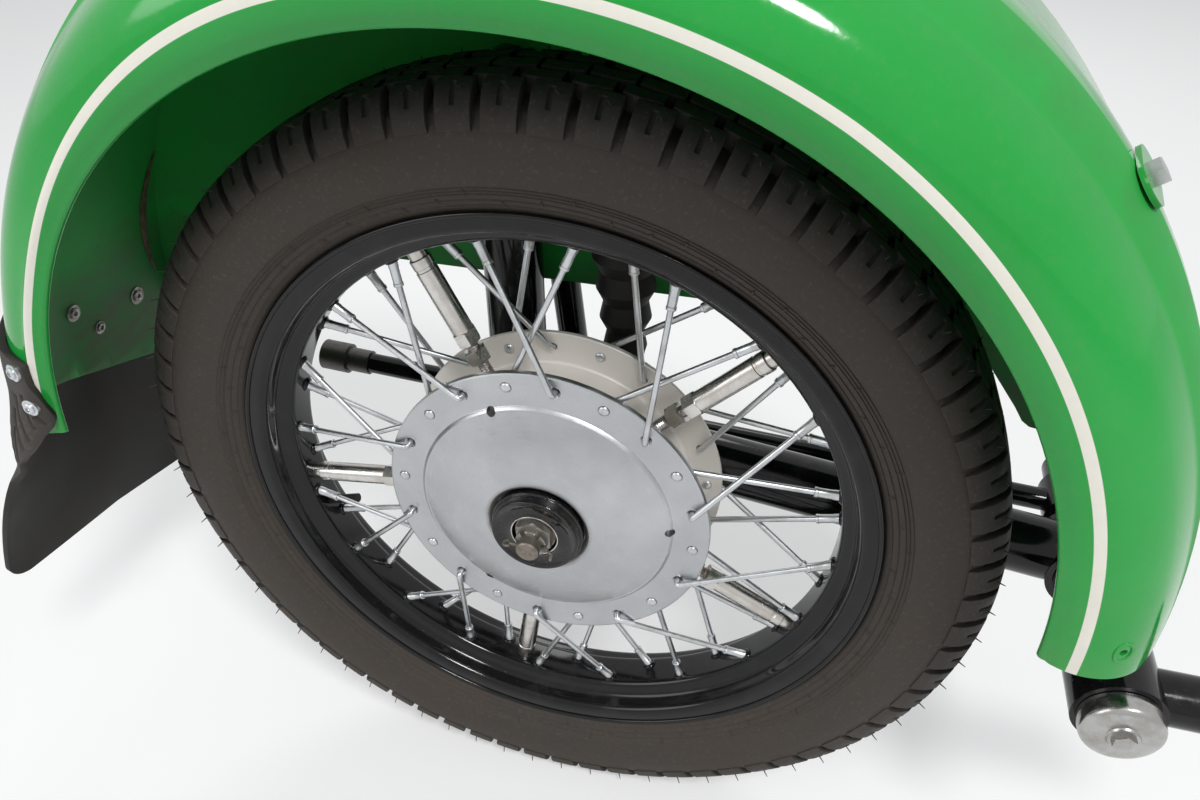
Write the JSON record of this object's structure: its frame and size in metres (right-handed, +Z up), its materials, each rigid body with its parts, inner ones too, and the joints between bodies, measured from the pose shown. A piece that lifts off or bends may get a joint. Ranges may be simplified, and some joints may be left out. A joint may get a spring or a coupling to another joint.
{
  "type": "sidecar wheel unit with mudguard",
  "caption": "Sidecar wheel corner: laced spoked wheel turning on a stub axle, trailing arm, shock absorber, deep valanced mudguard and mud flap",
  "frame": {"origin": "on the axis of the cross tube, at its inboard end, where the motorcycle's side of the chassis holds the unit", "axes": "+X forward, +Y inboard towards the motorcycle, +Z up"},
  "size_m": [1.0628, 0.3362, 0.8153],
  "materials": {
    "tyre": "dusty black rubber",
    "rim": "black gloss stove enamel",
    "hub": "fine turned and brushed casting",
    "zinc": "bright zinc plating",
    "sleeve": "bare turned steel",
    "bare_steel": "greasy bare steel with light rust",
    "black_paint": "black gloss paint",
    "green_paint": "green gloss paint with a cream line",
    "black_rubber": "moulded black rubber",
    "cap": "plated, grey with road dust"
  },
  "bodies": {
    "chassis": {"stub_axle": "bare_steel", "axle_spacer": "bare_steel", "axle_washer": "bare_steel", "axle_nut": "bare_steel", "cotter_pin": "bare_steel", "back_plate": "black_paint", "axle_rear_nut": "bare_steel", "trailing_arm": "black_paint", "arm_bush": "black_rubber", "cross_tube": "black_paint", "pivot_housing": "black_paint", "pivot_cap": "cap", "pivot_bolt": "zinc", "side_tube": "black_paint", "chassis_rail": "black_paint", "rail_end_sleeve": "bare_steel", "shock_tower": "black_paint", "shock_lower": "black_paint", "shock_cover": "black_paint", "shock_pins": "zinc", "mudguard": "green_paint", "mudguard_inner_wall": "green_paint", "buffer_bracket": "black_paint", "bump_buffer": "black_rubber", "body_tab": "green_paint", "tab_bolt": "zinc", "mud_flap": "black_rubber"},
    "wheel": {"tyre": "tyre", "rim": "rim", "valve_stem": "black_rubber", "hub_shell": "hub", "hub_bearings": "bare_steel", "hub_seal": "black_rubber", "spokes_near_outer": "zinc", "spokes_near_inner": "zinc", "spokes_far_outer": "zinc", "spokes_far_inner": "zinc", "nipples_near": "zinc", "nipples_far": "zinc", "strut_rods": "bare_steel", "strut_nuts": "zinc", "strut_sleeves": "sleeve"}
  },
  "joints": [
    {"name": "wheel_spin", "type": "hinge", "parent": "chassis", "child": "wheel", "pos_m": [-0.428, -0.2, 0.051], "axis": [0, 1, 0], "continuous": true}
  ]
}
